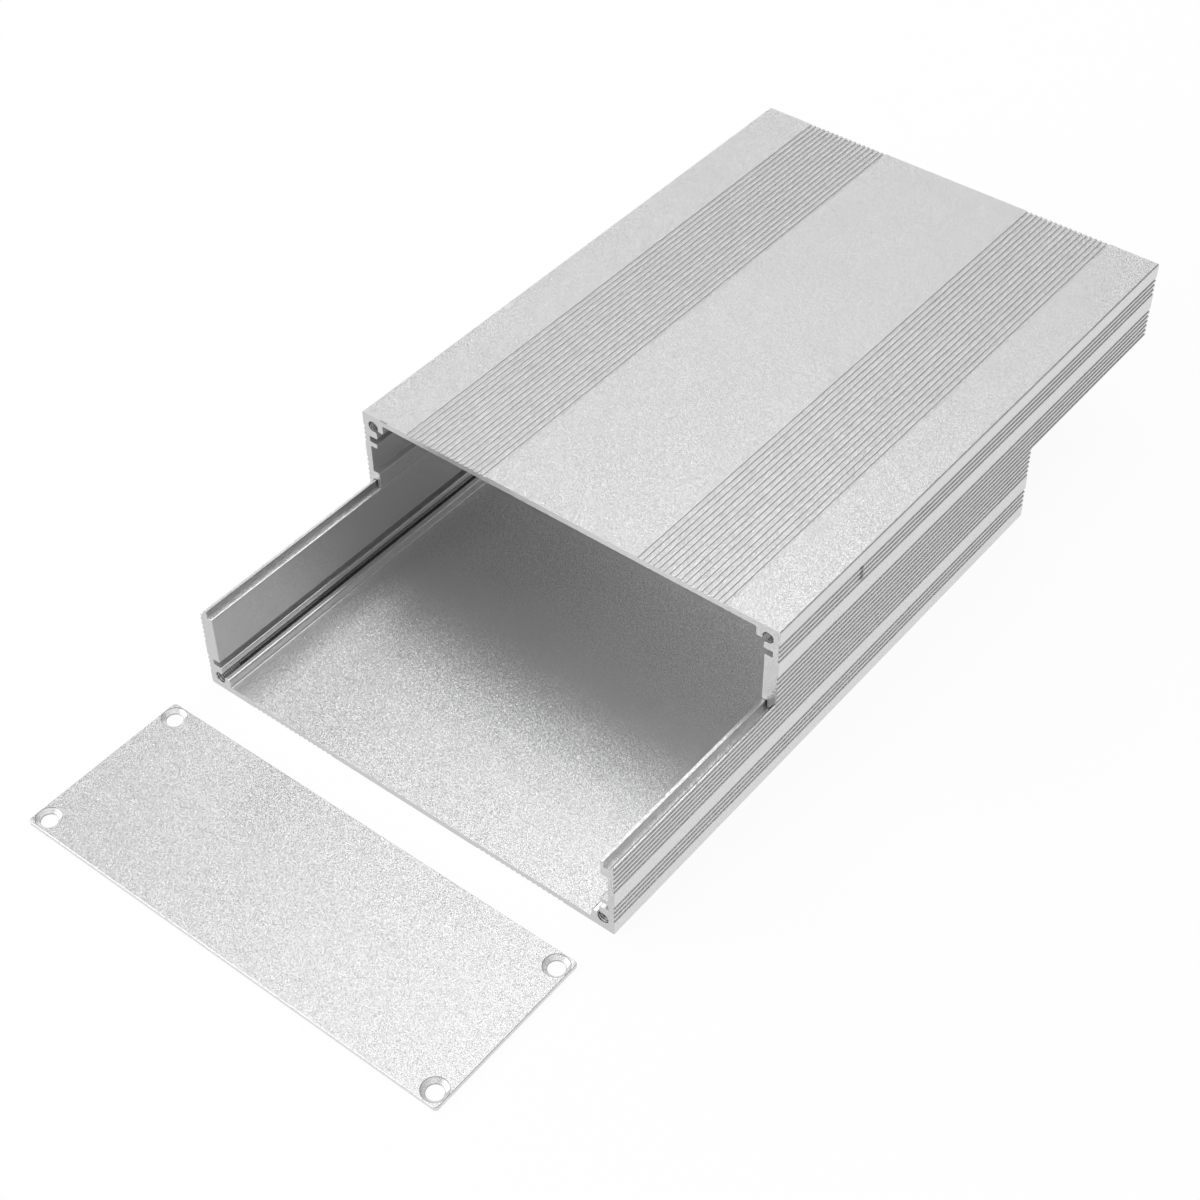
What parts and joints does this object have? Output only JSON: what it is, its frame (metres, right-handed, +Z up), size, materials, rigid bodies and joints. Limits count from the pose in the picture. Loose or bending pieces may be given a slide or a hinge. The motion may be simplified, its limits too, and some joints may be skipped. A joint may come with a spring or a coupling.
{
  "type": "extruded aluminium enclosure",
  "caption": "Split extruded aluminium enclosure for circuit boards: two grooved half shells that slide on a tongue and recess, with a flat countersunk end plate lying loose in front.",
  "frame": {"origin": "middle of the lower half's flat underside, on the surface that it stands on", "axes": "+Y along the extrusion, from the end plate towards the upper half's far end; +Z up; +X towards the lower half's recess side"},
  "size_m": [0.1462, 0.3363, 0.054],
  "materials": {
    "shell": "bead blasted and clear anodised",
    "plate": "bead blasted and clear anodised, bright cut holes and edges"
  },
  "bodies": {
    "lower": {"bottom_shell": "shell", "end_plate": "plate"},
    "upper": {"top_shell": "shell"}
  },
  "joints": [
    {"name": "upper_half_slide", "type": "slide", "parent": "lower", "child": "upper", "axis": [0, 1, 0], "range_m": [-0.069, 0.111]}
  ]
}
